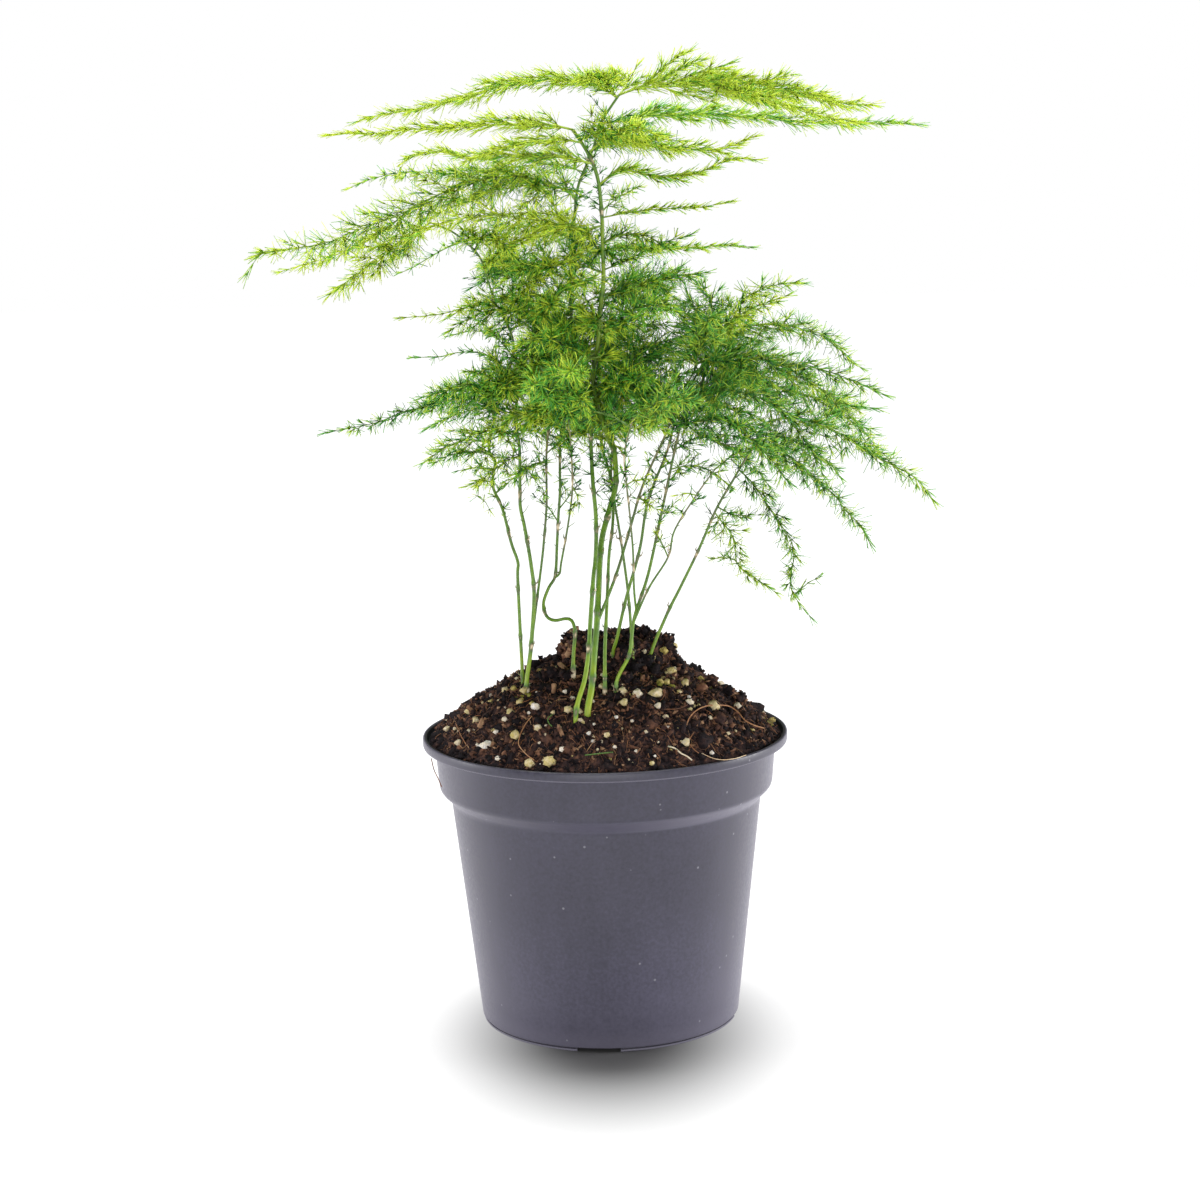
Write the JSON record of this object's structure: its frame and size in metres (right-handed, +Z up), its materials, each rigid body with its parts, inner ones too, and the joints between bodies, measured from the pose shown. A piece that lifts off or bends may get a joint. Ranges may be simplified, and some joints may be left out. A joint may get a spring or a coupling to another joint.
{
  "type": "potted asparagus fern",
  "caption": "Potted fern-like houseplant: feathery sprays of fine needles on thin arching stems, rooted in a mound of peat in a tapered round nursery pot.",
  "frame": {"origin": "centre of the pot's flat base, on the surface that it stands on", "axes": "+Z up along the pot's axis, -Y towards the viewer of the picture, +X to the viewer's right"},
  "size_m": [0.2208, 0.12, 0.3147],
  "materials": {
    "pot_plastic": "satin moulded",
    "peat": "rough and crumbly",
    "foliage": "fresh green, slightly waxy"
  },
  "bodies": {
    "root": {"pot": "pot_plastic", "soil": "peat", "arching_stem": "foliage", "left_stem": "foliage", "kinked_stem": "foliage", "tall_stem_back": "foliage", "tall_stem_front": "foliage", "middle_stem": "foliage", "crossing_stem": "foliage", "right_stem": "foliage", "forked_stem": "foliage", "leaning_stem": "foliage"}
  },
  "joints": []
}
